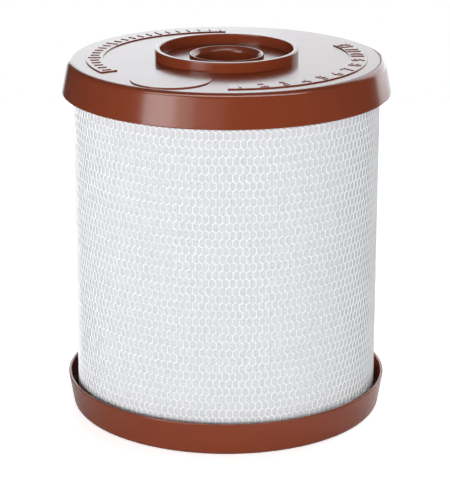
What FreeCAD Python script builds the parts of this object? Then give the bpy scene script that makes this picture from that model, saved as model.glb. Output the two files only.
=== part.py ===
"""Water filter cartridge, radial flow: water enters through the side and leaves by the hub.

A hollow carbon block stands between two moulded end caps. A non-woven wrap and a net sleeve
cover the block, a slotted core tube lines its bore, and a ring of hot melt glues each end of
the stack into its cap. The lid has a skirt, a raised collar and an open hub that takes the
outlet spigot of the housing. The dish is closed, and shuts the lower end of the core tube.

Millimetres, +Z up, origin at the centre of the face that the dish stands on.
"""
import FreeCAD, Part
import math
import os

import Sketcher
from FreeCAD import Rotation, Vector

doc = FreeCAD.newDocument("FilterCartridge")

# Driving dimensions: name, value, meaning
SIZES = [
    ("media_length", 156.3, "length of the block, its wraps and the net between the two glue rings"),
    ("bond_depth", 1.5, "thickness of each glue ring"),
    ("layer_gap", 0.05, "clearance between two layers of the media"),
    ("net_radius", 70.0, "outer radius of the net sleeve"),
    ("net_depth", 0.6, "thickness of the net's strands"),
    ("net_columns", 20, "gaps around the net"),
    ("net_rows", 6, "staggered rows of gaps up the net"),
    ("net_strand", 1.6, "width of a strand of the net"),
    ("net_hem", 2.0, "plain band at each end of the net"),
    ("wrap_thickness", 3.0, "thickness of the non-woven wrap round the block"),
    ("core_wrap_thickness", 0.8, "thickness of the fleece between block and core tube"),
    ("bore_radius", 14.0, "radius of the hub's bore, which takes the housing's spigot"),
    ("socket_wall", 1.5, "wall of the sleeve that carries the bore"),
    ("socket_depth", 22.0, "from the lid's top face down to the end of the sleeve"),
    ("core_fit", 0.1, "radial clearance of the core tube on the lid's sleeve and the dish's ring"),
    ("core_wall", 1.4, "wall of the core tube"),
    ("window_columns", 6, "windows around the core tube"),
    ("window_rows", 4, "rows of windows up the core tube"),
    ("window_width", 8.0, "width of a window"),
    ("window_height", 24.0, "height of a window"),
    ("window_land", 4.0, "plain wall between the windows and the lid's sleeve or the dish's ring"),
    ("lid_fit", 0.82, "radial clearance of the skirt on the net, under the top plate"),
    ("lid_flare", 11.2, "angle at which the skirt leans out, in degrees"),
    ("lid_drop", 15.1, "height of the lid's skirt, from lip to top face"),
    ("lid_wall", 1.7, "wall of the skirt"),
    ("lid_plate", 2.6, "thickness of the lid's top plate"),
    ("lid_shoulder", 3.0, "rounding of the lid's upper edge"),
    ("lip_break", 0.4, "chamfer of the skirt's lip and of the dish's rim"),
    ("collar_radius", 32.6, "outer radius of the collar"),
    ("collar_wall", 2.3, "wall of the collar"),
    ("collar_rise", 4.6, "height of the collar above the lid's top face"),
    ("collar_break", 0.4, "chamfer of the collar's upper edges"),
    ("hub_wall", 2.9, "wall of the hub"),
    ("hub_rise", 2.0, "height of the hub above the lid's top face"),
    ("hub_leadin", 2.0, "lead-in chamfer of the hub's bore"),
    ("hub_break", 0.3, "chamfer of the hub's upper edge"),
    ("band_inset", 8.0, "from the lid's outer radius in to the raised bands on its top face"),
    ("band_width", 8.0, "width of the raised bands"),
    ("pad_rise", 0.5, "height of the raised bands and of the round pad"),
    ("left_band_start", 90.5, "angle at which the left band starts, from +X"),
    ("left_band_sweep", 120.0, "angle that the left band covers"),
    ("right_band_start", 270.5, "angle at which the right band starts, from +X"),
    ("right_band_sweep", 117.0, "angle that the right band covers"),
    ("pad_radius", 17.8, "radius of the round pad"),
    ("pad_inset", 3.0, "from the lid's outer radius at its top face in to the round pad"),
    ("pad_angle", 241.8, "angle of the round pad's centre, from +X"),
    ("dish_fit", 1.0, "radial clearance of the dish's wall on the net, at its floor"),
    ("dish_flare", 9.9, "angle at which the dish's wall leans out, in degrees"),
    ("dish_rise", 16.0, "height of the dish, from base to rim"),
    ("dish_wall", 1.4, "wall of the dish"),
    ("dish_floor", 2.4, "thickness of the dish's floor"),
    ("dish_heel", 3.3, "rounding of the dish's lower edge"),
    ("foot_rise", 1.0, "depth of the recess under the floor, inside the foot ring"),
    ("foot_width", 6.0, "width of the foot ring's flat face"),
    ("spigot_rise", 12.0, "height above the floor of the ring that centres the core tube"),
    ("spigot_wall", 2.0, "wall of that ring"),
    ("spigot_leadin", 0.8, "lead-in chamfer of its upper outer edge"),
]

sheet = doc.addObject("Spreadsheet::Sheet", "Sizes")
for row, (alias, size, meaning) in enumerate(SIZES, 1):
    sheet.set(f"A{row}", meaning)
    sheet.set(f"B{row}", str(size))
    sheet.setAlias(f"B{row}", alias)
doc.recompute()

# Heights above the foot
FLOOR_TOP = "(Sizes.foot_rise + Sizes.dish_floor)"
MEDIA_BOTTOM = f"({FLOOR_TOP} + Sizes.bond_depth)"
MEDIA_TOP = f"({MEDIA_BOTTOM} + Sizes.media_length)"
PLATE_UNDER = f"({MEDIA_TOP} + Sizes.bond_depth)"
PLATE_TOP = f"({PLATE_UNDER} + Sizes.lid_plate)"
CORE_LENGTH = "(Sizes.media_length + 2 * Sizes.bond_depth)"
SLEEVE_LENGTH = "(Sizes.socket_depth - Sizes.lid_plate)"

# Radii from the outside of the media in, and from the bore out
NET_INNER = "(Sizes.net_radius - Sizes.net_depth)"
WRAP_OUTER = f"({NET_INNER} - Sizes.layer_gap)"
WRAP_INNER = f"({WRAP_OUTER} - Sizes.wrap_thickness)"
BLOCK_OUTER = f"({WRAP_INNER} - Sizes.layer_gap)"
SOCKET_OUTER = "(Sizes.bore_radius + Sizes.socket_wall)"
CORE_INNER = f"({SOCKET_OUTER} + Sizes.core_fit)"
CORE_OUTER = f"({CORE_INNER} + Sizes.core_wall)"
CORE_WRAP_INNER = f"({CORE_OUTER} + Sizes.layer_gap)"
CORE_WRAP_OUTER = f"({CORE_WRAP_INNER} + Sizes.core_wrap_thickness)"
BLOCK_INNER = f"({CORE_WRAP_OUTER} + Sizes.layer_gap)"

# The walls of the caps, which lean out from the vertical
LID_TILT = "(Sizes.lid_flare * 1 deg)"
SKIRT_ROOT = "(Sizes.net_radius + Sizes.lid_fit)"
LID_TOP_RADIUS = f"({SKIRT_ROOT} + Sizes.lid_wall - Sizes.lid_plate * tan({LID_TILT}))"
LID_LIP_RADIUS = f"({LID_TOP_RADIUS} + Sizes.lid_drop * tan({LID_TILT}))"
DISH_TILT = "(Sizes.dish_flare * 1 deg)"
DISH_ROOT = "(Sizes.net_radius + Sizes.dish_fit)"
DISH_BASE_RADIUS = f"({DISH_ROOT} + Sizes.dish_wall - {FLOOR_TOP} * tan({DISH_TILT}))"
DISH_RIM_RADIUS = f"({DISH_BASE_RADIUS} + Sizes.dish_rise * tan({DISH_TILT}))"
NEAR = 1e-4
ROUND_STEPS = 3  # flats to a rounded corner of an outline


def value(expression):
    """The number that an expression on the sheet comes to."""
    return float(sheet.evalExpression(expression))


def new_body(label, height="0"):
    """A body with its own label, placed at a height above the foot."""
    body = doc.addObject("PartDesign::Body", label)
    body.Label = label
    body.setExpression("Placement.Base.z", height)
    return body


def origin_feature(body, role):
    return next(f for f in body.Origin.OriginFeatures if f.Role == role)


def new_sketch(body, name, plane="XZ_Plane", turn="0", shift="0"):
    """A sketch on an origin plane. An upright one is turned about the vertical axis and moved
    out from it, towards the side that its pocket cuts; a level one is moved up."""
    sketch = body.newObject("Sketcher::SketchObject", name)
    sketch.AttachmentSupport = [(origin_feature(body, plane), "")]
    sketch.MapMode = "FlatFace"
    sketch.AttachmentOffset = FreeCAD.Placement(Vector(), Rotation(Vector(0, 1, 0), 0))
    if plane == "XY_Plane":
        sketch.setExpression("AttachmentOffset.Base.z", shift)
        return sketch
    sketch.setExpression("AttachmentOffset.Rotation.Angle", turn)
    sketch.setExpression("AttachmentOffset.Base.x", f"-{shift} * sin({turn})")
    sketch.setExpression("AttachmentOffset.Base.z", f"-{shift} * cos({turn})")
    return sketch


def bind(sketch, kind, *ends, size):
    """A named dimension that follows the sheet."""
    index = sketch.addConstraint(Sketcher.Constraint(kind, *ends, value(size)))
    name = f"size{index}"
    sketch.renameConstraint(index, name)
    sketch.setExpression(f"Constraints.{name}", size)


def draw_outline(sketch, corners):
    """A closed outline whose corners, pairs of expressions, are each bound to the sheet."""
    points = [Vector(value(x), value(y), 0) for x, y in corners]
    count = len(points)
    first = sketch.GeometryCount
    for i in range(count):
        sketch.addGeometry(Part.LineSegment(points[i], points[(i + 1) % count]))
    for i in range(count):
        sketch.addConstraint(Sketcher.Constraint("Coincident", first + i, 2, first + (i + 1) % count, 1))
    for i, (x, y) in enumerate(corners):
        if x == "0":
            sketch.addConstraint(Sketcher.Constraint("PointOnObject", first + i, 1, -2))
        else:
            bind(sketch, "DistanceX", -1, 1, first + i, 1, size=x)
        if y == "0":
            sketch.addConstraint(Sketcher.Constraint("PointOnObject", first + i, 1, -1))
        else:
            bind(sketch, "DistanceY", -1, 1, first + i, 1, size=y)


def revolve(body, name, corners, turn="0", sweep=None):
    """Turns an outline of (radius, height) corners about the vertical axis."""
    sketch = new_sketch(body, f"{name}_outline", turn=turn)
    draw_outline(sketch, corners)
    doc.recompute()
    turned = body.newObject("PartDesign::Revolution", name)
    turned.Profile = sketch
    turned.ReferenceAxis = (sketch, ["V_Axis"])
    turned.Angle = 360
    if sweep:
        turned.setExpression("Angle", sweep)
    body.Tip = turned
    doc.recompute()
    return turned


def rounding_reach(tilt, size):
    """How far in from the corner a rounding leaves the level face."""
    return f"({size} * tan((90 deg - {tilt}) / 2))"


def rounded_corner(radius, height, tilt, size, away):
    """Points that round the corner of a level face and a wall, from the face to the wall.

    The wall leans out by tilt and falls away from the face ("-") or rises from it ("+").
    """
    turn = f"(90 deg - {tilt})"
    centre = f"({radius} - {rounding_reach(tilt, size)})"
    points = []
    for step in range(ROUND_STEPS + 1):
        angle = f"(90 deg - {turn} * {step} / {ROUND_STEPS})"
        points.append((f"{centre} + {size} * cos({angle})", f"{height} {away} {size} * (1 - sin({angle}))"))
    return points


def ring_corners(inner, outer, bottom, top):
    return [(inner, bottom), (outer, bottom), (outer, top), (inner, top)]


def edges_at(feature, radius, height):
    """Names of the feature's circular edges about the axis at this radius and height."""
    names = []
    for number, edge in enumerate(feature.Shape.Edges, 1):
        curve = edge.Curve
        if not isinstance(curve, Part.Circle):
            continue
        centre = curve.Center
        if abs(curve.Radius - value(radius)) > NEAR or math.hypot(centre.x, centre.y) > NEAR:
            continue
        if abs(centre.z - value(height)) < NEAR:
            names.append(f"Edge{number}")
    return names


def break_edges(body, name, size, places):
    """Chamfers the circular edges at the given (radius, height) places."""
    base = body.Tip
    names = [edge for radius, height in places for edge in edges_at(base, radius, height)]
    if len(names) < len(places):
        raise ValueError(f"{name}: found {len(names)} edges for {len(places)} places")
    chamfer = body.newObject("PartDesign::Chamfer", name)
    chamfer.Base = (base, names)
    chamfer.setExpression("Size", size)
    body.Tip = chamfer
    doc.recompute()
    return chamfer


def cut_outward(body, name, sketch, reach):
    """Cuts an upright sketch out through the near side of a tube."""
    solid_before = body.Shape.Volume
    pocket = body.newObject("PartDesign::Pocket", name)
    pocket.Profile = sketch
    pocket.setExpression("Length", reach)
    body.Tip = pocket
    doc.recompute()
    if body.Shape.Volume > solid_before - NEAR:
        raise ValueError(f"{name} cuts nothing")
    return pocket


def repeat_round_and_up(body, pocket, columns, rows, rise):
    """Repeats a cut up the tube and then round it."""
    up = body.newObject("PartDesign::LinearPattern", f"{pocket.Name}_up")
    up.Direction = (origin_feature(body, "Z_Axis"), [""])
    up.setExpression("Length", f"{rise} * ({rows} - 1)")
    up.setExpression("Occurrences", rows)
    around = body.newObject("PartDesign::PolarPattern", f"{pocket.Name}_round")
    around.Axis = (origin_feature(body, "Z_Axis"), [""])
    around.Angle = 360
    around.setExpression("Occurrences", columns)
    grid = body.newObject("PartDesign::MultiTransform", f"{pocket.Name}_grid")
    grid.Originals = [pocket]
    grid.Transformations = [up, around]
    body.Tip = grid
    doc.recompute()
    return grid


def make_lid():
    """The upper end cap: plate, skirt, collar, open hub and socket sleeve, moulded in one."""
    body = new_body("upper_end_cap", f"{PLATE_TOP} - Sizes.socket_depth")
    top = "Sizes.socket_depth"
    under = f"({top} - Sizes.lid_plate)"
    lip = f"({top} - Sizes.lid_drop)"
    hub_top = f"({top} + Sizes.hub_rise)"
    collar_top = f"({top} + Sizes.collar_rise)"
    collar_inner = "(Sizes.collar_radius - Sizes.collar_wall)"
    leadin_radius = "(Sizes.bore_radius + Sizes.hub_leadin)"
    hub_radius = "(Sizes.bore_radius + Sizes.hub_wall)"
    revolve(body, "lid", [
        ("Sizes.bore_radius", "0"),
        ("Sizes.bore_radius", f"{hub_top} - Sizes.hub_leadin"),
        (leadin_radius, hub_top),
        (hub_radius, hub_top),
        (hub_radius, top),
        (collar_inner, top),
        (collar_inner, collar_top),
        ("Sizes.collar_radius", collar_top),
        ("Sizes.collar_radius", top),
        *rounded_corner(LID_TOP_RADIUS, top, LID_TILT, "Sizes.lid_shoulder", "-"),
        (LID_LIP_RADIUS, lip),
        (f"{LID_LIP_RADIUS} - Sizes.lid_wall", lip),
        (SKIRT_ROOT, under),
        (SOCKET_OUTER, under),
        (SOCKET_OUTER, "0"),
    ])
    break_edges(body, "lip", "Sizes.lip_break", [(LID_LIP_RADIUS, lip)])
    break_edges(body, "collar_edges", "Sizes.collar_break",
                [("Sizes.collar_radius", collar_top), (collar_inner, collar_top)])
    break_edges(body, "hub_edge", "Sizes.hub_break", [(hub_radius, hub_top)])
    add_band(body, "left_band", top, "Sizes.left_band_start", "Sizes.left_band_sweep")
    add_band(body, "right_band", top, "Sizes.right_band_start", "Sizes.right_band_sweep")
    add_round_pad(body, top)
    return body


def add_band(body, name, top, start, sweep):
    """A raised band on the lid: a flat rectangle turned through part of a circle."""
    outer = f"({LID_TOP_RADIUS} - Sizes.band_inset)"
    inner = f"({outer} - Sizes.band_width)"
    root = f"({top} - Sizes.lid_plate / 2)"
    corners = ring_corners(inner, outer, root, f"({top} + Sizes.pad_rise)")
    revolve(body, name, corners, turn=start, sweep=sweep)


def add_round_pad(body, top):
    """A raised round pad between the collar and the shoulder."""
    sketch = new_sketch(body, "pad_outline", "XY_Plane", shift=f"({top} - Sizes.lid_plate / 2)")
    offset = f"({LID_TOP_RADIUS} - Sizes.pad_inset - Sizes.pad_radius)"
    across = f"{offset} * cos(Sizes.pad_angle * 1 deg)"
    along = f"{offset} * sin(Sizes.pad_angle * 1 deg)"
    centre = Vector(value(across), value(along), 0)
    sketch.addGeometry(Part.Circle(centre, Vector(0, 0, 1), value("Sizes.pad_radius")))
    bind(sketch, "Radius", 0, size="Sizes.pad_radius")
    bind(sketch, "DistanceX", -1, 1, 0, 3, size=across)
    bind(sketch, "DistanceY", -1, 1, 0, 3, size=along)
    doc.recompute()
    pad = body.newObject("PartDesign::Pad", "round_pad")
    pad.Profile = sketch
    pad.setExpression("Length", "Sizes.lid_plate / 2 + Sizes.pad_rise")
    body.Tip = pad
    doc.recompute()


def make_dish():
    """The lower end cap: a closed dish on a foot ring, with a ring that centres the core tube."""
    body = new_body("lower_end_cap")
    foot_edge = f"({DISH_BASE_RADIUS} - {rounding_reach(DISH_TILT, 'Sizes.dish_heel')})"
    foot_inner = f"({foot_edge} - Sizes.foot_width)"
    ring_outer = f"({CORE_INNER} - Sizes.core_fit)"
    ring_inner = f"({ring_outer} - Sizes.spigot_wall)"
    ring_top = f"({FLOOR_TOP} + Sizes.spigot_rise)"
    revolve(body, "dish", [
        (foot_inner, "0"),
        *rounded_corner(DISH_BASE_RADIUS, "0", DISH_TILT, "Sizes.dish_heel", "+"),
        (DISH_RIM_RADIUS, "Sizes.dish_rise"),
        (f"{DISH_RIM_RADIUS} - Sizes.dish_wall", "Sizes.dish_rise"),
        (DISH_ROOT, FLOOR_TOP),
        (ring_outer, FLOOR_TOP),
        (ring_outer, ring_top),
        (ring_inner, ring_top),
        (ring_inner, FLOOR_TOP),
        ("0", FLOOR_TOP),
        ("0", "Sizes.foot_rise"),
        (foot_inner, "Sizes.foot_rise"),
    ])
    break_edges(body, "rim", "Sizes.lip_break", [(DISH_RIM_RADIUS, "Sizes.dish_rise")])
    break_edges(body, "ring_edge", "Sizes.spigot_leadin", [(ring_outer, ring_top)])
    return body


def make_tube(label, inner, outer, bottom, length):
    """A plain tube or ring that stands at a height above the foot."""
    body = new_body(label, bottom)
    revolve(body, f"{label}_wall", ring_corners(inner, outer, "0", length))
    return body


def make_net():
    """The net sleeve: a thin tube with staggered rows of stretched six-sided gaps."""
    body = make_tube("outer_netting", NET_INNER, "Sizes.net_radius", MEDIA_BOTTOM, "Sizes.media_length")
    cell_width = "(2 * Sizes.net_radius * sin(180 deg / Sizes.net_columns))"
    row_rise = "((Sizes.media_length - 2 * Sizes.net_hem) / (Sizes.net_rows + 1 / 3))"
    slope = f"(2 * {row_rise} / (3 * {cell_width}))"
    half_width = f"({cell_width} / 2 - Sizes.net_strand / 2)"
    tip = f"(2 / 3 * {row_rise} - Sizes.net_strand / 2 * sqrt(1 + {slope} ^ 2))"
    shoulder = f"({tip} - {half_width} * {slope})"
    start = f"({NET_INNER} * cos(180 deg / Sizes.net_columns) - Sizes.net_depth)"
    half_turn = "180 deg / Sizes.net_columns"
    for name, first_row, turn, rows in (
        ("even_gap", 0, "0", "ceil(Sizes.net_rows / 2)"),
        ("odd_gap", 1, half_turn, "floor(Sizes.net_rows / 2)"),
    ):
        middle = f"(Sizes.net_hem + {row_rise} * (2 / 3 + {first_row}))"
        sketch = new_sketch(body, f"{name}_outline", turn=turn, shift=start)
        draw_outline(sketch, [
            ("0", f"{middle} + {tip}"),
            (half_width, f"{middle} + {shoulder}"),
            (half_width, f"{middle} - {shoulder}"),
            ("0", f"{middle} - {tip}"),
            (f"-{half_width}", f"{middle} - {shoulder}"),
            (f"-{half_width}", f"{middle} + {shoulder}"),
        ])
        doc.recompute()
        gap = cut_outward(body, name, sketch, f"Sizes.net_radius + Sizes.net_depth - {start}")
        repeat_round_and_up(body, gap, "Sizes.net_columns", rows, f"2 * {row_rise}")
    return body


def make_core_tube():
    """The core tube: a pipe with rows of windows that let the water into the middle."""
    body = make_tube("core_tube", CORE_INNER, CORE_OUTER, FLOOR_TOP, CORE_LENGTH)
    bottom = "(Sizes.spigot_rise + Sizes.window_land)"
    top = f"({bottom} + Sizes.window_height)"
    last_top = f"({CORE_LENGTH} - {SLEEVE_LENGTH} - Sizes.window_land)"
    rise = f"(({last_top} - {top}) / (Sizes.window_rows - 1))"
    half = "(Sizes.window_width / 2)"
    start = f"({CORE_INNER} - Sizes.core_wall)"
    sketch = new_sketch(body, "window_outline", shift=start)
    draw_outline(sketch, [(f"-{half}", bottom), (half, bottom), (half, top), (f"-{half}", top)])
    doc.recompute()
    window = cut_outward(body, "window", sketch, "3 * Sizes.core_wall")
    repeat_round_and_up(body, window, "Sizes.window_columns", "Sizes.window_rows", rise)
    return body


def build():
    """Every piece of the cartridge, from the outside in."""
    bond_outer = "(Sizes.net_radius - Sizes.layer_gap)"
    return [
        make_lid(),
        make_dish(),
        make_net(),
        make_tube("prefilter_wrap", WRAP_INNER, WRAP_OUTER, MEDIA_BOTTOM, "Sizes.media_length"),
        make_tube("filter_block", BLOCK_INNER, BLOCK_OUTER, MEDIA_BOTTOM, "Sizes.media_length"),
        make_tube("core_wrap", CORE_WRAP_INNER, CORE_WRAP_OUTER, MEDIA_BOTTOM, "Sizes.media_length"),
        make_core_tube(),
        make_tube("upper_bond_ring", CORE_WRAP_INNER, bond_outer, MEDIA_TOP, "Sizes.bond_depth"),
        make_tube("lower_bond_ring", CORE_WRAP_INNER, bond_outer, FLOOR_TOP, "Sizes.bond_depth"),
    ]


def check_and_write(bodies):
    """Stops on a failed object or a bad solid, then writes one file for each piece."""
    doc.recompute()
    for item in doc.Objects:
        if "Invalid" in item.State or "Error" in item.State:
            raise ValueError(f"{item.Label} failed: {item.State}")
    for body in bodies:
        if body.Shape.isNull() or not body.Shape.isValid() or not body.Shape.Solids:
            raise ValueError(f"{body.Label} has no valid solid")
    os.makedirs("parts", exist_ok=True)
    for body in bodies:
        body.Shape.exportStep(f"parts/{body.Label}.step")
        box = body.Shape.BoundBox
        print(f"{body.Label}: {len(body.Shape.Solids)} solid, {body.Shape.Volume:.0f} mm3,"
              f" radius {box.XMax:.2f}, height {box.ZMin:.2f} to {box.ZMax:.2f}")


check_and_write(build())
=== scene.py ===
"""Water filter cartridge: glossy moulded end caps, a stretched net and a non-woven wrap,
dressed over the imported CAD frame. Metres, +Z up, the object stands on the floor at z = 0.
"""
import math

import bmesh
import bpy
from bpy.props import FloatProperty, FloatVectorProperty, IntProperty, PointerProperty
from mathutils import Matrix, Vector, noise


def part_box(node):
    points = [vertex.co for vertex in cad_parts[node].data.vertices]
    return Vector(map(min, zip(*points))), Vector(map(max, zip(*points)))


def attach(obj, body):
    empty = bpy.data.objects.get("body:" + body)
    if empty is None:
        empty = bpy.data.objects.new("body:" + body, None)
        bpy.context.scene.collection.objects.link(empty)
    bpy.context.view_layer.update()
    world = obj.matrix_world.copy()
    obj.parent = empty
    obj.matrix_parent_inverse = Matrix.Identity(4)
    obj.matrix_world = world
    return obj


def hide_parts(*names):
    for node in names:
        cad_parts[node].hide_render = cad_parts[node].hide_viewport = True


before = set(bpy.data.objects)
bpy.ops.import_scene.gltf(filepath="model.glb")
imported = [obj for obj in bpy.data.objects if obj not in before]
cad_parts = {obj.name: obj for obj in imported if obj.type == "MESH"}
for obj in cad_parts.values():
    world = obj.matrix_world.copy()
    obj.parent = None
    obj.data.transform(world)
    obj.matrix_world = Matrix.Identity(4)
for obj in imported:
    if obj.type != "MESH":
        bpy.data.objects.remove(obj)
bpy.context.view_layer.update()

bl_info = {
    "name": "Water Filter Cartridge",
    "version": (1, 0, 0),
    "blender": (4, 5, 0),
    "location": "View3D > Sidebar > Cartridge",
    "description": "Dresses the cartridge frame with its end caps, net, wrap and finishes",
    "category": "Object",
}

MM = 0.001
LID_LOW, LID_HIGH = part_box("upper_end_cap")
DISH_LOW, DISH_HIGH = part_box("lower_end_cap")
NET_LOW, NET_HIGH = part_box("outer_netting")
WRAP_LOW, WRAP_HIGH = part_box("prefilter_wrap")
COLLAR_RISE = 4.6 * MM
LID_FACE = LID_HIGH[2] - COLLAR_RISE  # the lid's flat top
DISH_PLATE = 3.4 * MM
DISH_FLOOR = DISH_LOW[2] + DISH_PLATE
TURN_STEPS = 360  # facets of a turned piece, one a degree
HALF_STEP = math.radians(0.5)
# The two raised arcs of the lid, from a start to an end angle in degrees, anticlockwise from +X
TICK_ARC = (90.5, 210.5)
NUMBER_ARC = (-89.5, 27.5)
TICKS = 24
TICKS_PER_LONG = 6
LONG_TICK, SHORT_TICK = 5.8 * MM, 4.0 * MM
NUMBERS = 12
PAD_SUNK = 0.6 * MM  # how far the round pad goes down into the plate
CAP_HEIGHT = 0.72  # height of a digit as a share of the font's size
FLOOR_HALF = 0.6  # metres
FLOOR_LIFT = 0.66  # light the camera sees on the floor besides what falls on it
PICTURE_SIDE = 489  # pixels along the picture's longer side
LID_AIM, BODY_AIM = (0, 0, 0.16), (0, 0, 0.1)  # where the lamps look
COOL_WALL, COOL_SOFTBOX = (0.89, 0.962, 1.0), (0.88, 0.98, 1.0)
BACK_WALL_DISTANCE = 1.12  # metres behind the object's axis
# The wall of light behind: each panel's name, left and right edge, foot and top in metres, and its
# share of the back light. The gap between two of them draws a thin dark line on the lid's shoulder.
BACK_WALL = (
    ("back_wall_left", -0.46, 0.045, -0.02, 1.25, 0.965),
    ("back_wall_middle", 0.045, 0.19, -0.02, 1.25, 0.865),
    ("back_wall_right", 0.27, 1.36, -0.02, 1.25, 0.9),
    ("back_wall_foot", -0.46, 1.36, -0.26, -0.02, 0.46),
)


def linear(code):
    """An sRGB hex colour as linear RGBA."""
    parts = [int(code[i:i + 2], 16) / 255 for i in (1, 3, 5)]
    return tuple(c / 12.92 if c <= 0.04045 else ((c + 0.055) / 1.055) ** 2.4 for c in parts) + (1.0,)


def length(name, description, default):
    return FloatProperty(name=name, description=description, default=default, min=0.0,
                         unit="LENGTH", precision=5)


def level(name, description, default):
    return FloatProperty(name=name, description=description, default=default, min=0.0)


def angle_of(name, description, degrees):
    return FloatProperty(name=name, description=description, default=math.radians(degrees),
                         subtype="ANGLE")


def colour(name, description, code):
    return FloatVectorProperty(name=name, description=description, default=linear(code), size=4,
                               min=0.0, max=1.0, subtype="COLOR")


class LidSizes(bpy.types.PropertyGroup):
    lip_radius: length("Lip radius", "Outer radius of the skirt's lip", LID_HIGH[0])
    top_radius: length("Top radius", "Outer radius at the top face, before rounding", 72.005 * MM)
    wall: length("Skirt wall", "Wall of the skirt", 1.7 * MM)
    drop: length("Skirt height", "From the lip to the top face", 15.1 * MM)
    plate: length("Plate", "Thickness of the top plate", 2.6 * MM)
    shoulder: length("Shoulder", "Rounding between the skirt and the top face", 3.0 * MM)
    collar_radius: length("Collar radius", "Outer radius of the raised collar", 32.6 * MM)
    collar_wall: length("Collar wall", "Wall of the collar", 2.3 * MM)
    hub_radius: length("Hub radius", "Outer radius of the hub's rim", 16.9 * MM)
    hub_rise: length("Hub rise", "Height of the hub's rim above the top face", 2.0 * MM)
    bore_radius: length("Bore radius", "Radius of the bore", 14.0 * MM)
    leadin: length("Lead-in", "Lead-in chamfer of the bore", 2.0 * MM)
    sleeve_wall: length("Sleeve wall", "Wall of the sleeve under the hub", 1.5 * MM)
    band_inner: length("Band inner radius", "Inner radius of the raised bands", 56.0 * MM)
    band_outer: length("Band outer radius", "Outer radius of the raised bands", 64.0 * MM)
    relief: length("Relief", "Height of the bands and of the round pad", 0.5 * MM)
    pad_radius: length("Pad radius", "Radius of the round pad", 17.8 * MM)
    pad_x: length("Pad offset across", "From the axis to the pad's centre, to the left", 24.2 * MM)
    pad_y: length("Pad offset forward", "From the axis to the pad's centre, to the front", 45.2 * MM)
    numeral_height: length("Numeral height", "Height of the dial's numbers", 6.2 * MM)


class DishSizes(bpy.types.PropertyGroup):
    rim_radius: length("Rim radius", "Outer radius of the dish's rim", DISH_HIGH[0])
    rise: length("Height", "Height of the dish, from foot to rim", 16.0 * MM)
    base_radius: length("Base radius", "Outer radius at the foot, before rounding", 71.807 * MM)
    wall: length("Wall", "Wall of the dish", 1.4 * MM)
    heel: length("Heel", "Rounding of the lower edge", 3.3 * MM)
    foot_inner: length("Foot ring", "Inner radius of the foot ring", 63.0 * MM)
    recess: length("Recess", "Depth of the recess inside the foot ring", 1.0 * MM)
    ring_outer: length("Centring ring", "Outer radius of the ring that centres the core", 15.5 * MM)
    ring_wall: length("Centring wall", "Wall of that ring", 2.0 * MM)
    ring_rise: length("Centring height", "Height of that ring over the floor", 12.0 * MM)


class SleeveSizes(bpy.types.PropertyGroup):
    net_radius: length("Net radius", "Outer radius of the net", NET_HIGH[0])
    strand_width: length("Strand width", "Width of a strand", 0.39 * MM)
    strand_depth: length("Strand depth", "Thickness of a strand", 0.6 * MM)
    gap_rounding: length("Gap rounding", "Cut across the sharp ends of a gap", 0.3 * MM)
    lean: length("Lean", "How far a gap leans to one side, row by row to the other", 0.13 * MM)
    waviness: length("Waviness", "How far the strands stray from a regular net", 0.38 * MM)
    slump: length("Slump", "How much lower than evenly spaced the middle rows sit", 1.05 * MM)
    hem: length("Hem", "Plain band at each end of the net", 1.2 * MM)
    columns: IntProperty(name="Columns", description="Cells around the net", default=149, min=12)
    rows: IntProperty(name="Rows", description="Staggered rows of cells, an even number", default=42, min=2)
    wrap_radius: length("Wrap radius", "Outer radius of the non-woven wrap", WRAP_HIGH[0])
    wrap_thickness: length("Wrap thickness", "Thickness of the non-woven wrap", 3.0 * MM)


class FinishColours(bpy.types.PropertyGroup):
    cap_light: colour("Cap light", "Lighter brown of the end caps", "#803A23")
    cap_dark: colour("Cap dark", "Darker brown of the end caps", "#79351C")
    net_light: colour("Net light", "White of the net where it is thick", "#F9F9FA")
    net_dark: colour("Net dark", "White of the net where it is stretched", "#F1F2F4")
    fleece_light: colour("Fleece light", "Loose fibres of the wrap", "#DCDDE0")
    fleece_dark: colour("Fleece dark", "Pits between the fibres of the wrap", "#CACBCE")
    floor: colour("Floor", "Plain pale floor", "#F2F2F2")


class StageSettings(bpy.types.PropertyGroup):
    camera_distance: length("Camera distance", "From the object's axis to the camera", 935.3 * MM)
    camera_height: length("Camera height", "Height of the camera over the floor", 370.5 * MM)
    camera_pitch: angle_of("Camera pitch", "How far the camera looks down", 17.4816)
    camera_roll: angle_of("Camera roll", "How far the camera is turned about its view", 0.13)
    focal_length: FloatProperty(name="Focal length", description="Lens, in millimetres", default=154.53,
                                unit="CAMERA")
    backlight: level("Back light", "Brightness of the wall of light behind", 2.7)
    sidelight: level("Side light", "Brightness of the softbox on the left", 7.0)
    striplight: level("Strip light", "Brightness of the strip overhead", 9.0)
    keylight: level("Key light", "Brightness of the soft key light", 17.8)
    filllight: level("Fill light", "Brightness of the fill from the right", 0.95)
    rimlight: level("Rim light", "Brightness of the light from the right and behind", 8.5)
    mirrored: level("Mirrored room", "Brightness of the room in reflections", 0.06)
    horizon: level("Horizon", "Brightness of the room near the horizon", 0.42)
    zenith: level("Zenith", "Brightness of the room overhead", 0.1)


def add_node(tree, kind, inputs=(), **settings):
    """Adds a node with its settings. An input is a value, or another node's output to link."""
    node = tree.nodes.new(kind)
    for name, setting in settings.items():
        setattr(node, name, setting)
    for name, source in dict(inputs).items():
        if isinstance(source, bpy.types.NodeSocket):
            tree.links.new(source, node.inputs[name])
        else:
            node.inputs[name].default_value = source
    return node


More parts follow.
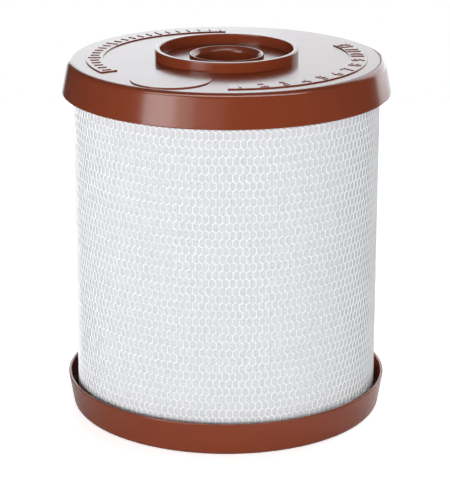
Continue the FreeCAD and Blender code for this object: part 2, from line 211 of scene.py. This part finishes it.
def new_material(name, shader):
    """A material with one principled shader, whose plain values are in shader."""
    material = bpy.data.materials.new(name)
    material.use_nodes = True
    tree = material.node_tree
    tree.nodes.clear()
    body = add_node(tree, "ShaderNodeBsdfPrincipled", shader)
    output = add_node(tree, "ShaderNodeOutputMaterial", {"Surface": body.outputs["BSDF"]})
    output.is_active_output = True
    coords = add_node(tree, "ShaderNodeTexCoord")
    return material, tree, body, coords.outputs["Object"]


def per_size(millimetres):
    """The scale at which one cell of a texture is that many millimetres across."""
    return 1.0 / (millimetres * MM)


def two_tones(tree, factor, low, high):
    """A colour between two, by a factor; gives its output."""
    mix = add_node(tree, "ShaderNodeMix", {0: factor, 6: low, 7: high}, data_type="RGBA")
    return mix.outputs[2]


def spread(tree, source, low, high, to_low, to_high):
    """A value stretched from one range to another; gives its output."""
    ranged = add_node(tree, "ShaderNodeMapRange", {"Value": source, "From Min": low, "From Max": high,
                                                   "To Min": to_low, "To Max": to_high})
    return ranged.outputs["Result"]


def noise_of(tree, place, millimetres, **inputs):
    """A noise with spots of that many millimetres; gives its output."""
    spots = add_node(tree, "ShaderNodeTexNoise", {"Vector": place, "Scale": per_size(millimetres), **inputs})
    return spots.outputs["Fac"]


def add_bump(tree, body, height, strength, depth):
    """Gives the shader a bump of a depth in millimetres."""
    bump = add_node(tree, "ShaderNodeBump", {"Height": height, "Strength": strength, "Distance": depth * MM})
    tree.links.new(bump.outputs["Normal"], body.inputs["Normal"])


def glossy_cap_plastic(tones):
    """Brown ABS from a polished mould: a deep clean gloss that mirrors the lights softly, with
    faint flow marks from the filling of the mould and a trace of orange peel."""
    material, tree, body, place = new_material("abs_polished_mould", {"IOR": 1.45, "Metallic": 0.0})
    flow = noise_of(tree, place, 28, Detail=3.0)
    rub = noise_of(tree, place, 9, Detail=4.0)
    peel = noise_of(tree, place, 1.6, Detail=2.0)
    tree.links.new(two_tones(tree, flow, tones.cap_dark, tones.cap_light), body.inputs["Base Color"])
    tree.links.new(spread(tree, rub, 0.3, 0.7, 0.175, 0.195), body.inputs["Roughness"])
    add_bump(tree, body, peel, 0.03, 0.1)
    return material


def net_plastic(tones):
    """White polyethylene, extruded and then stretched: waxy strands, whiter where they are thick,
    with hardly any sheen."""
    material, tree, body, place = new_material("polyethylene_stretched_net",
                                               {"IOR": 1.5, "Specular IOR Level": 0.03,
                                                "Diffuse Roughness": 0.6})
    draw = noise_of(tree, place, 5, Detail=2.0)
    grain = noise_of(tree, place, 0.7, Detail=2.0)
    tree.links.new(two_tones(tree, draw, tones.net_dark, tones.net_light), body.inputs["Base Color"])
    tree.links.new(spread(tree, grain, 0.3, 0.7, 0.38, 0.52), body.inputs["Roughness"])
    add_bump(tree, body, grain, 0.2, 0.1)
    return material


def wrap_fleece(tones):
    """White spun-bonded polypropylene: matte matted fibres with small pits. The fibres are a few
    hundredths of a millimetre, so they are drawn coarser, at 0.5 mm, to show at all."""
    material, tree, body, place = new_material("polypropylene_spun_bonded",
                                               {"IOR": 1.49, "Roughness": 0.9, "Specular IOR Level": 0.05,
                                                "Diffuse Roughness": 0.65})
    matted = noise_of(tree, place, 1.1, Detail=5.0, Roughness=0.65)
    fibres = noise_of(tree, place, 0.5, Detail=3.0, Distortion=1.5)
    shade = spread(tree, matted, 0.32, 0.68, 0.0, 1.0)
    tree.links.new(two_tones(tree, shade, tones.fleece_dark, tones.fleece_light), body.inputs["Base Color"])
    add_bump(tree, body, fibres, 0.5, 0.2)
    return material


def grained(name, grain, low, high, roughness, bump_depth, shader):
    """A plain matte material of two tones with a grain of one real size in millimetres."""
    material, tree, body, place = new_material(name, shader)
    coarse = noise_of(tree, place, grain, Detail=4.0)
    fine = add_node(tree, "ShaderNodeTexVoronoi", {"Vector": place, "Scale": per_size(grain / 2)})
    tree.links.new(two_tones(tree, coarse, linear(low), linear(high)), body.inputs["Base Color"])
    tree.links.new(spread(tree, coarse, 0.3, 0.7, roughness - 0.06, roughness + 0.06),
                   body.inputs["Roughness"])
    add_bump(tree, body, fine.outputs["Distance"], 0.5, bump_depth)
    return material


def block_carbon():
    """Activated carbon granules pressed and sintered: near black, matte, gritty at 1 mm."""
    return grained("carbon_sintered_granules", 1.0, "#0E0E0F", "#26272A", 0.88, 0.25, {"IOR": 1.6})


def core_fleece():
    """Melt-blown fleece round the core: white, matte, fine lint at 0.8 mm."""
    return grained("polypropylene_melt_blown", 0.8, "#E4E5E6", "#F2F2F2", 0.9, 0.1,
                   {"IOR": 1.49, "Specular IOR Level": 0.2})


def core_plastic():
    """Natural polypropylene, moulded and left uncoloured: milky white, satin, slightly cloudy."""
    return grained("polypropylene_natural_moulded", 6.0, "#E3E3DE", "#EFEFEB", 0.42, 0.02, {"IOR": 1.49})


def glue():
    """Hot melt that has set between block and cap: cloudy, pale amber, with a wet skin."""
    return grained("hot_melt_set", 4.0, "#D9CBA2", "#E8DFC2", 0.3, 0.08, {"IOR": 1.48})


def rounded_outline(corners, turn=0.0):
    """A closed outline in the XZ plane from (radius, height, rounding, flats) corners, with the
    vertices of each rounded corner made by a vertex bevel."""
    bm = bmesh.new()
    ring = [bm.verts.new((x, 0.0, z)) for x, z, _, _ in corners]
    for first, second in zip(ring, ring[1:] + ring[:1]):
        bm.edges.new((first, second))
    count = len(corners)
    for i, (x, z, rounding, flats) in enumerate(corners):
        if rounding:
            here = Vector((x, z))
            before = (Vector(corners[i - 1][:2]) - here).normalized()
            after = (Vector(corners[(i + 1) % count][:2]) - here).normalized()
            half_corner = before.angle(after) / 2
            bmesh.ops.bevel(bm, geom=[ring[i]], offset=rounding / math.tan(half_corner),
                            offset_type="OFFSET", affect="VERTICES", segments=flats, profile=0.5,
                            material=-1)
    bmesh.ops.rotate(bm, verts=bm.verts[:], cent=(0, 0, 0), matrix=Matrix.Rotation(turn, 3, "Z"))
    return bm


def spin_round(bm, steps=TURN_STEPS):
    """Turns an outline once round the vertical axis into a closed shell."""
    bmesh.ops.spin(bm, geom=bm.verts[:] + bm.edges[:], cent=(0, 0, 0), axis=(0, 0, 1), dvec=(0, 0, 0),
                   angle=math.tau, steps=steps, use_merge=True)
    bmesh.ops.remove_doubles(bm, verts=bm.verts[:], dist=0.002 * MM)
    bmesh.ops.recalc_face_normals(bm, faces=bm.faces[:])


def add_shell(bm, part):
    """Adds a closed shell to a mesh and frees it."""
    mesh = bpy.data.meshes.new("shell")
    part.to_mesh(mesh)
    part.free()
    bm.from_mesh(mesh)
    bpy.data.meshes.remove(mesh)


def make_piece(name, bm, material, node, sharp=35.0):
    """Puts a finished mesh in the scene as a piece that stands for one CAD node."""
    mesh = bpy.data.meshes.new(name)
    if sharp is None:
        for face in bm.faces:
            face.smooth = True
    bm.to_mesh(mesh)
    bm.free()
    if sharp:
        mesh.shade_smooth()
        mesh.set_sharp_from_angle(angle=math.radians(sharp))
    mesh.materials.append(material)
    piece = bpy.data.objects.new(name, mesh)
    bpy.context.collection.objects.link(piece)
    even = piece.modifiers.new("even_faces", "WEIGHTED_NORMAL")
    even.keep_sharp = True
    even.weight = 100
    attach(piece, "root")
    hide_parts(node)
    return piece


def finish_material(name, make, *given):
    """The named material, made once."""
    return bpy.data.materials.get(name) or make(*given)


class CARTRIDGE_OT_lid(bpy.types.Operator):
    """Upper end cap: skirt, shoulder, collar, hub and sleeve, with its raised bands and pad"""
    bl_idname = "cartridge.lid"
    bl_label = "Lid"

    def outline(self, s):
        """The lid's section, from the foot of the bore up, over the top and back inside."""
        top, lip = LID_FACE, LID_FACE - s.drop
        collar_inner = s.collar_radius - s.collar_wall
        lean = (s.lip_radius - s.top_radius) / s.drop
        root = s.top_radius + s.plate * lean - s.wall
        under = top - s.plate
        hub_top = top + s.hub_rise
        return [
            (s.bore_radius, LID_LOW[2], 0.3 * MM, 2),
            (s.bore_radius, hub_top - s.leadin, 1.6 * MM, 4),
            (s.bore_radius + s.leadin, hub_top, 1.2 * MM, 4),
            (s.hub_radius, hub_top, 0.35 * MM, 3),
            (s.hub_radius, top, 0.25 * MM, 2),
            (collar_inner, top, 0.25 * MM, 2),
            (collar_inner, LID_HIGH[2], 0.55 * MM, 4),
            (s.collar_radius, LID_HIGH[2], 0.55 * MM, 4),
            (s.collar_radius, top, 0.0, 0),
            (s.band_inner, top, 0.0, 0),
            (s.band_outer, top, 0.0, 0),
            (s.top_radius, top, s.shoulder, 10),
            (s.lip_radius, lip, 0.45 * MM, 4),
            (s.lip_radius - s.wall, lip, 0.45 * MM, 4),
            (root, under, 0.6 * MM, 3),
            (s.bore_radius + s.sleeve_wall, under, 0.6 * MM, 3),
            (s.bore_radius + s.sleeve_wall, LID_LOW[2], 0.3 * MM, 2),
        ]

    def raise_bands(self, bm, s):
        """Lifts the two arcs of the top face and rounds their edges."""
        middle = (s.band_inner + s.band_outer) / 2
        lifted = []
        for face in bm.faces:
            at = face.calc_center_median()
            if abs(at.z - LID_FACE) > 0.01 * MM or abs(math.hypot(at.x, at.y) - middle) > 0.2 * MM:
                continue
            angle = math.degrees(math.atan2(at.y, at.x))
            if any((angle - start) % 360 < end - start for start, end in (TICK_ARC, NUMBER_ARC)):
                lifted.append(face)
        raised = bmesh.ops.extrude_face_region(bm, geom=lifted)["geom"]
        verts = [v for v in raised if isinstance(v, bmesh.types.BMVert)]
        bmesh.ops.translate(bm, verts=verts, vec=(0, 0, s.relief))
        bmesh.ops.delete(bm, geom=lifted, context="FACES_ONLY")
        high = LID_FACE + s.relief - 0.01 * MM
        rims = [e for e in bm.edges if len(e.link_faces) == 2 and min(v.co.z for v in e.verts) > high
                and min(f.calc_center_median().z for f in e.link_faces) < high
                and abs(Vector(e.verts[0].co.xy).length - middle) < s.band_outer - middle + 0.1 * MM]
        bmesh.ops.bevel(bm, geom=rims, offset=0.15 * MM, offset_type="OFFSET", affect="EDGES", segments=2,
                        profile=0.5, material=-1)

    def round_pad(self, s):
        """A low round pad, sunk a little into the plate."""
        low, high = LID_FACE - PAD_SUNK, LID_FACE + s.relief
        pad = rounded_outline([(0.0, low, 0.0, 0), (s.pad_radius, low, 0.0, 0),
                               (s.pad_radius, high, 0.18 * MM, 2), (0.0, high, 0.0, 0)])
        spin_round(pad, 144)
        bmesh.ops.translate(pad, verts=pad.verts[:], vec=(-s.pad_x, -s.pad_y, 0))
        return pad

    def angles(self, arc, count):
        """The middles of equal shares of an arc, in radians."""
        start, end = arc
        return [math.radians(start + (end - start) * (i + 0.5) / count) for i in range(count)]

    def set_on_band(self, part, s, angle, turn):
        """Moves a shape from the origin to the middle of a band, turned about itself."""
        radius = (s.band_inner + s.band_outer) / 2
        place = Matrix.Translation((radius * math.cos(angle), radius * math.sin(angle), LID_FACE + s.relief))
        bmesh.ops.transform(part, matrix=place @ Matrix.Rotation(turn, 4, "Z"), verts=part.verts[:])

    def numeral(self, text, s, angle):
        """One plain number of the dial, upright to a reader outside the lid."""
        curve = bpy.data.curves.new("numeral", "FONT")
        curve.body = text
        curve.align_x, curve.align_y = "CENTER", "CENTER"
        curve.size = s.numeral_height / CAP_HEIGHT
        curve.space_character = 0.95
        curve.extrude = 0.2 * MM
        curve.bevel_depth = 0.08 * MM
        curve.bevel_resolution = 0
        curve.resolution_u = 3
        holder = bpy.data.objects.new("numeral", curve)
        mesh = bpy.data.meshes.new_from_object(holder)
        part = bmesh.new()
        part.from_mesh(mesh)
        bpy.data.objects.remove(holder)
        bpy.data.curves.remove(curve)
        bpy.data.meshes.remove(mesh)
        bmesh.ops.remove_doubles(part, verts=part.verts[:], dist=0.005 * MM)
        bmesh.ops.recalc_face_normals(part, faces=part.faces[:])
        self.set_on_band(part, s, angle, angle + math.pi / 2)
        return part

    def tick(self, s, angle, reach):
        """One raised rib of the plain scale on the left band."""
        part = bmesh.new()
        bmesh.ops.create_cube(part, size=1.0, matrix=Matrix.Diagonal((reach, 0.9 * MM, 0.6 * MM, 1.0)))
        upper = [e for e in part.edges if min(v.co.z for v in e.verts) > 0]
        bmesh.ops.bevel(part, geom=upper, offset=0.15 * MM, offset_type="OFFSET", affect="EDGES", segments=2,
                        profile=0.5, material=-1)
        self.set_on_band(part, s, angle, angle)
        return part

    def execute(self, context):
        s = context.scene.cartridge_lid
        bm = rounded_outline(self.outline(s), HALF_STEP)
        spin_round(bm)
        self.raise_bands(bm, s)
        add_shell(bm, self.round_pad(s))
        for number, angle in enumerate(self.angles(NUMBER_ARC, NUMBERS), 1):
            add_shell(bm, self.numeral(str(number), s, angle))
        for i, angle in enumerate(self.angles(TICK_ARC, TICKS)):
            add_shell(bm, self.tick(s, angle, SHORT_TICK if i % TICKS_PER_LONG else LONG_TICK))
        finish = context.scene.cartridge_finishes
        material = finish_material("abs_polished_mould", glossy_cap_plastic, finish)
        make_piece("lid", bm, material, "upper_end_cap")
        return {"FINISHED"}


class CARTRIDGE_OT_dish(bpy.types.Operator):
    """Lower end cap: a flared dish on a foot ring, with the ring that centres the core tube"""
    bl_idname = "cartridge.dish"
    bl_label = "Dish"

    def execute(self, context):
        s = context.scene.cartridge_dish
        lean = (s.rim_radius - s.base_radius) / s.rise
        root = s.base_radius + DISH_FLOOR * lean - s.wall
        ring_inner = s.ring_outer - s.ring_wall
        ring_top = DISH_FLOOR + s.ring_rise
        bm = rounded_outline([
            (0.0, s.recess, 0.0, 0),
            (s.foot_inner, s.recess, 0.4 * MM, 3),
            (s.foot_inner, 0.0, 0.3 * MM, 3),
            (s.base_radius, 0.0, s.heel, 10),
            (s.rim_radius, s.rise, 0.45 * MM, 4),
            (s.rim_radius - s.wall, s.rise, 0.45 * MM, 4),
            (root, DISH_FLOOR, 0.6 * MM, 3),
            (s.ring_outer, DISH_FLOOR, 0.3 * MM, 2),
            (s.ring_outer, ring_top, 0.7 * MM, 3),
            (ring_inner, ring_top, 0.3 * MM, 2),
            (ring_inner, DISH_FLOOR, 0.3 * MM, 2),
            (0.0, DISH_FLOOR, 0.0, 0),
        ], HALF_STEP)
        spin_round(bm)
        material = finish_material("abs_polished_mould", glossy_cap_plastic, context.scene.cartridge_finishes)
        make_piece("dish", bm, material, "lower_end_cap")
        return {"FINISHED"}


class CARTRIDGE_OT_net(bpy.types.Operator):
    """Net sleeve: staggered rows of stretched six-sided cells between two plain hems"""
    bl_idname = "cartridge.net"
    bl_label = "Net"

    def cell(self, s, width, pitch):
        """One flat cell: a six-sided ridge outside and inside that falls to the gap's edge between
        them, with the sharp upper and lower ends of the gap rounded off and the whole gap leaning
        to one side. X runs around, Z up and Y inwards."""
        bm = bmesh.new()
        bmesh.ops.create_circle(bm, cap_ends=True, radius=1.0, segments=6)
        bmesh.ops.scale(bm, verts=bm.verts[:], vec=(width / math.sqrt(3), 2 * pitch / 3, 1.0))
        bmesh.ops.inset_region(bm, faces=bm.faces[:], thickness=s.strand_width / 2, use_boundary=True,
                               use_even_offset=True)
        hole = min(bm.faces, key=lambda face: face.calc_center_median().length)
        edge = list(hole.verts)
        bmesh.ops.delete(bm, geom=[hole], context="FACES_ONLY")
        bmesh.ops.translate(bm, verts=edge, vec=(0, 0, -s.strand_depth / 2))
        tips = [v for v in edge if abs(v.co.x) < 0.1 * width]
        bmesh.ops.bevel(bm, geom=tips, offset=s.gap_rounding, offset_type="OFFSET", affect="VERTICES",
                        segments=1, profile=0.5, material=-1)
        for side in (1, -1):
            middle = [v for v in bm.verts if abs(v.co.x) < 0.1 * MM and v.co.y * side > 0]
            corner = max(middle, key=lambda v: v.co.y * side)
            bmesh.ops.pointmerge(bm, verts=middle, merge_co=corner.co.copy())
        for vert in bm.verts:
            if vert.co.z > -0.1 * s.strand_depth:
                continue
            if abs(vert.co.x) < 0.2 * width:
                vert.co.x -= s.lean
            else:
                vert.co.y -= math.copysign(0.7 * s.lean, vert.co.x * vert.co.y)
        bmesh.ops.rotate(bm, verts=bm.verts[:], cent=(0, 0, 0), matrix=Matrix.Rotation(math.pi / 2, 3, "X"))
        back = bmesh.ops.duplicate(bm, geom=bm.verts[:] + bm.edges[:] + bm.faces[:])["geom"]
        verts = [v for v in back if isinstance(v, bmesh.types.BMVert)]
        mirror_plane = Matrix.Translation((0, -s.strand_depth / 2, 0))
        bmesh.ops.scale(bm, verts=verts, vec=(1, -1, 1), space=mirror_plane)
        bmesh.ops.remove_doubles(bm, verts=bm.verts[:], dist=0.002 * MM)
        return bm

    def close_ends(self, bm, s):
        """Closes the zigzag ends of the net between the outer and the inner ridge."""
        middle = s.net_radius - s.strand_depth / 2
        outer = [e for e in bm.edges if e.is_boundary and e.verts[0].co.xy.length > middle]
        strip = bmesh.ops.extrude_edge_only(bm, edges=outer)["geom"]
        verts = [v for v in strip if isinstance(v, bmesh.types.BMVert)]
        inwards = 1 - s.strand_depth / s.net_radius
        bmesh.ops.scale(bm, verts=verts, vec=(inwards, inwards, 1))
        bmesh.ops.remove_doubles(bm, verts=bm.verts[:], dist=0.02 * MM)

    def stray(self, bm, s):
        """Moves the strands a little off their regular places, slowly over a hand's width and
        faster from cell to cell, without changing how far out they lie. The rows sit a little closer
        towards the foot, where the sleeve was pulled less."""
        for vert in bm.verts:
            slow, fast = vert.co / (14 * MM), vert.co / (3.5 * MM)
            round_by = noise.noise(slow) + 0.5 * noise.noise(fast)
            up_by = noise.noise(slow + Vector((7, 3, 5))) + 0.5 * noise.noise(fast + Vector((2, 9, 4)))
            turn = Matrix.Rotation(s.waviness * round_by / s.net_radius, 3, "Z")
            share = (2 * vert.co.z - NET_LOW[2] - NET_HIGH[2]) / (NET_HIGH[2] - NET_LOW[2])
            drop = s.slump * (1 - share * share)
            vert.co = turn @ vert.co + Vector((0, 0, s.waviness * up_by - drop))

    def add_hems(self, bm, s):
        """Plain bands at both ends, which the first and last strands run into."""
        inner = s.net_radius - s.strand_depth
        height = s.hem + 0.4 * MM  # 0.4 mm over the first strands
        for low in (NET_LOW[2], NET_HIGH[2] - height):
            high = low + height
            hem = rounded_outline([(inner, low, 0.0, 0), (s.net_radius, low, 0.1 * MM, 1),
                                   (s.net_radius, high, 0.1 * MM, 1), (inner, high, 0.0, 0)])
            spin_round(hem, s.columns)
            add_shell(bm, hem)

    def execute(self, context):
        s = context.scene.cartridge_sleeve
        width = math.tau * s.net_radius / s.columns
        clear = NET_HIGH[2] - NET_LOW[2] - 2 * s.hem
        pitch = clear / (s.rows - 1 + 4 / 3)
        bm = self.cell(s, width, pitch)
        first = bm.verts[:] + bm.edges[:] + bm.faces[:]
        bmesh.ops.translate(bm, verts=bm.verts[:], vec=(0, 0, NET_LOW[2] + s.hem + 2 * pitch / 3))
        for row in range(1, s.rows):
            copy = bmesh.ops.duplicate(bm, geom=first)["geom"]
            verts = [v for v in copy if isinstance(v, bmesh.types.BMVert)]
            odd = row % 2
            bmesh.ops.scale(bm, verts=verts, vec=(1 - 2 * odd, 1, 1))
            bmesh.ops.translate(bm, verts=verts, vec=(width / 2 * odd, 0, pitch * row))
        for vert in bm.verts:
            angle = vert.co.x / s.net_radius
            reach = s.net_radius - vert.co.y
            vert.co.x, vert.co.y = reach * math.sin(angle), -reach * math.cos(angle)
        bmesh.ops.spin(bm, geom=bm.verts[:] + bm.edges[:] + bm.faces[:], cent=(0, 0, 0), axis=(0, 0, 1),
                       dvec=(0, 0, 0), angle=math.tau * (s.columns - 1) / s.columns, steps=s.columns - 1,
                       use_duplicate=True)
        bmesh.ops.remove_doubles(bm, verts=bm.verts[:], dist=0.02 * MM)
        self.close_ends(bm, s)
        middle = s.net_radius - s.strand_depth / 2
        for edge in bm.edges:
            edge.smooth = any(abs(v.co.xy.length - middle) > 0.05 * MM for v in edge.verts)
        self.stray(bm, s)
        self.add_hems(bm, s)
        bmesh.ops.recalc_face_normals(bm, faces=bm.faces[:])
        finish = context.scene.cartridge_finishes
        material = finish_material("polyethylene_stretched_net", net_plastic, finish)
        make_piece("net_sleeve", bm, material, "outer_netting", sharp=None)
        return {"FINISHED"}


class CARTRIDGE_OT_wrap(bpy.types.Operator):
    """Non-woven wrap that shows through the net"""
    bl_idname = "cartridge.wrap"
    bl_label = "Wrap"

    def execute(self, context):
        s = context.scene.cartridge_sleeve
        inner = s.wrap_radius - s.wrap_thickness
        bm = rounded_outline([(inner, WRAP_LOW[2], 0.3 * MM, 2), (s.wrap_radius, WRAP_LOW[2], 0.5 * MM, 3),
                              (s.wrap_radius, WRAP_HIGH[2], 0.5 * MM, 3), (inner, WRAP_HIGH[2], 0.3 * MM, 2)],
                             HALF_STEP)
        spin_round(bm)
        material = finish_material("polypropylene_spun_bonded", wrap_fleece, context.scene.cartridge_finishes)
        make_piece("wrap", bm, material, "prefilter_wrap")
        return {"FINISHED"}


class CARTRIDGE_OT_inside(bpy.types.Operator):
    """Finishes for the block, its fleece, the core tube and the glue, which keep their CAD shape"""
    bl_idname = "cartridge.inside"
    bl_label = "Inside"

    def execute(self, context):
        finishes = {
            "filter_block": block_carbon,
            "core_wrap": core_fleece,
            "core_tube": core_plastic,
            "upper_bond_ring": glue,
            "lower_bond_ring": glue,
        }
        made = {}
        for node, make in finishes.items():
            if make not in made:
                made[make] = make()
            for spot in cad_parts[node].material_slots:
                spot.material = made[make]
        return {"FINISHED"}


class CARTRIDGE_OT_stage(bpy.types.Operator):
    """Floor, room light, lamps and camera"""
    bl_idname = "cartridge.stage"
    bl_label = "Stage"

    def floor(self, context):
        """A wide pale floor. The camera sees it lifted to white, less the object's shadow."""
        bm = bmesh.new()
        bmesh.ops.create_grid(bm, x_segments=1, y_segments=1, size=FLOOR_HALF)
        mesh = bpy.data.meshes.new("floor")
        bm.to_mesh(mesh)
        bm.free()
        floor = bpy.data.objects.new("floor", mesh)
        context.collection.objects.link(floor)
        tone = context.scene.cartridge_finishes.floor
        material, tree, body, _ = new_material("studio_floor_paper",
                                               {"Base Color": tone, "Roughness": 0.9,
                                                "Specular IOR Level": 0.0, "Emission Color": (1, 1, 1, 1)})
        rays = add_node(tree, "ShaderNodeLightPath")
        lift = add_node(tree, "ShaderNodeMath", {0: rays.outputs["Is Camera Ray"], 1: FLOOR_LIFT},
                        operation="MULTIPLY")
        tree.links.new(lift.outputs[0], body.inputs["Emission Strength"])
        mesh.materials.append(material)

    def room(self, context, s):
        """White to the camera and nearly dark in reflections; brighter at the horizon than
        overhead for the light that falls on the object."""
        world = bpy.data.worlds.new("room")
        context.scene.world = world
        world.use_nodes = True
        tree = world.node_tree
        tree.nodes.clear()
        rays = add_node(tree, "ShaderNodeLightPath")
        direction = add_node(tree, "ShaderNodeTexCoord")
        height = add_node(tree, "ShaderNodeSeparateXYZ", {0: direction.outputs["Generated"]})
        fall = spread(tree, height.outputs["Z"], 0.25, 0.8, s.horizon, s.zenith)
        camera = rays.outputs["Is Camera Ray"]
        seen = add_node(tree, "ShaderNodeMath", {0: camera, 1: rays.outputs["Is Glossy Ray"]},
                        operation="MAXIMUM")
        seen = add_node(tree, "ShaderNodeMath", {0: seen.outputs[0], 1: rays.outputs["Is Transmission Ray"]},
                        operation="MAXIMUM")
        keep = add_node(tree, "ShaderNodeMath", {0: camera, 1: s.mirrored}, operation="MAXIMUM")
        lit = add_node(tree, "ShaderNodeBackground", {"Color": (1, 1, 1, 1), "Strength": fall})
        white = add_node(tree, "ShaderNodeBackground", {"Color": (1, 1, 1, 1), "Strength": keep.outputs[0]})
        mix = add_node(tree, "ShaderNodeMixShader",
                       {0: seen.outputs[0], 1: lit.outputs[0], 2: white.outputs[0]})
        add_node(tree, "ShaderNodeOutputWorld", {"Surface": mix.outputs[0]})

    def lamp(self, context, name, place, target, size, brightness, tint=(1, 1, 1), diffuse=True, glossy=True):
        """A soft rectangular lamp of a given brightness that faces a target. Its power is pi
        times its area to the unit of brightness."""
        light = bpy.data.lights.new(name, "AREA")
        light.shape = "RECTANGLE"
        light.size, light.size_y = size
        light.color = tint
        light.energy = math.pi * size[0] * size[1] * brightness
        lamp = bpy.data.objects.new(name, light)
        context.collection.objects.link(lamp)
        lamp.location = place
        lamp.rotation_euler = (Vector(target) - Vector(place)).to_track_quat("-Z", "Y").to_euler()
        lamp.visible_camera = False
        lamp.visible_diffuse = diffuse
        lamp.visible_glossy = glossy

    def execute(self, context):
        s = context.scene.cartridge_stage
        self.floor(context)
        self.room(context, s)
        for name, left, right, foot, top, share in BACK_WALL:
            x, z = (left + right) / 2, (foot + top) / 2
            self.lamp(context, name, (x, BACK_WALL_DISTANCE, z), (x, 0.0, z), (right - left, top - foot),
                      share * s.backlight, tint=COOL_WALL)
        self.lamp(context, "left_softbox", (-0.96, -0.93, 0.50), LID_AIM, (0.57, 0.95), s.sidelight,
                  tint=COOL_SOFTBOX, diffuse=False)
        self.lamp(context, "left_spill", (-0.63, -1.18, 0.50), LID_AIM, (0.28, 0.95), 0.4 * s.sidelight,
                  tint=COOL_SOFTBOX, diffuse=False)
        self.lamp(context, "overhead_strip", (0.0, -0.47, 1.40), LID_AIM, (2.4, 0.36), s.striplight,
                  diffuse=False)
        self.lamp(context, "key", (-0.39, -1.69, 0.42), BODY_AIM, (0.7, 0.6), s.keylight, glossy=False)
        self.lamp(context, "fill", (1.35, -0.38, 0.40), BODY_AIM, (0.8, 0.8), s.filllight, glossy=False)
        self.lamp(context, "rim", (0.88, 1.09, 0.30), BODY_AIM, (0.8, 0.8), s.rimlight, glossy=False)
        view = bpy.data.cameras.new("camera")
        view.sensor_width = 36.0
        view.lens = s.focal_length
        # The object sits a little right and low in the picture
        view.shift_x, view.shift_y = -1.2 / PICTURE_SIDE, 0.5 / PICTURE_SIDE
        camera = bpy.data.objects.new("camera", view)
        context.collection.objects.link(camera)
        camera.location = (0.0, -s.camera_distance, s.camera_height)
        aim = Matrix.Rotation(math.pi / 2 - s.camera_pitch, 3, "X") @ Matrix.Rotation(s.camera_roll, 3, "Z")
        camera.rotation_euler = aim.to_euler()
        context.scene.camera = camera
        context.scene.view_settings.view_transform = "Standard"
        return {"FINISHED"}


class CARTRIDGE_PT_sidebar(bpy.types.Panel):
    """The cartridge's pieces, sizes and colours"""
    bl_idname = "CARTRIDGE_PT_sidebar"
    bl_label = "Filter cartridge"
    bl_space_type = "VIEW_3D"
    bl_region_type = "UI"
    bl_category = "Cartridge"

    def draw(self, context):
        layout = self.layout
        for operators, settings in PANEL_ROWS:
            box = layout.box()
            for operator in operators:
                box.operator(operator.bl_idname)
            group = getattr(context.scene, settings)
            for name in group.__annotations__:
                box.prop(group, name)


GROUPS = {
    "cartridge_lid": LidSizes,
    "cartridge_dish": DishSizes,
    "cartridge_sleeve": SleeveSizes,
    "cartridge_finishes": FinishColours,
    "cartridge_stage": StageSettings,
}
OPERATORS = (CARTRIDGE_OT_lid, CARTRIDGE_OT_dish, CARTRIDGE_OT_net, CARTRIDGE_OT_wrap, CARTRIDGE_OT_inside,
             CARTRIDGE_OT_stage)
PANEL_ROWS = (
    ((CARTRIDGE_OT_lid,), "cartridge_lid"),
    ((CARTRIDGE_OT_dish,), "cartridge_dish"),
    ((CARTRIDGE_OT_net, CARTRIDGE_OT_wrap), "cartridge_sleeve"),
    ((CARTRIDGE_OT_inside,), "cartridge_finishes"),
    ((CARTRIDGE_OT_stage,), "cartridge_stage"),
)


def register():
    for group in GROUPS.values():
        bpy.utils.register_class(group)
    for name, group in GROUPS.items():
        setattr(bpy.types.Scene, name, PointerProperty(type=group))
    for kind in OPERATORS + (CARTRIDGE_PT_sidebar,):
        bpy.utils.register_class(kind)


def unregister():
    for kind in reversed(OPERATORS + (CARTRIDGE_PT_sidebar,)):
        bpy.utils.unregister_class(kind)
    for name in reversed(GROUPS):
        delattr(bpy.types.Scene, name)
    for group in reversed(GROUPS.values()):
        bpy.utils.unregister_class(group)


def main():
    register()
    bpy.ops.cartridge.lid()
    bpy.ops.cartridge.dish()
    bpy.ops.cartridge.net()
    bpy.ops.cartridge.wrap()
    bpy.ops.cartridge.inside()
    bpy.ops.cartridge.stage()


if __name__ == "__main__":
    main()
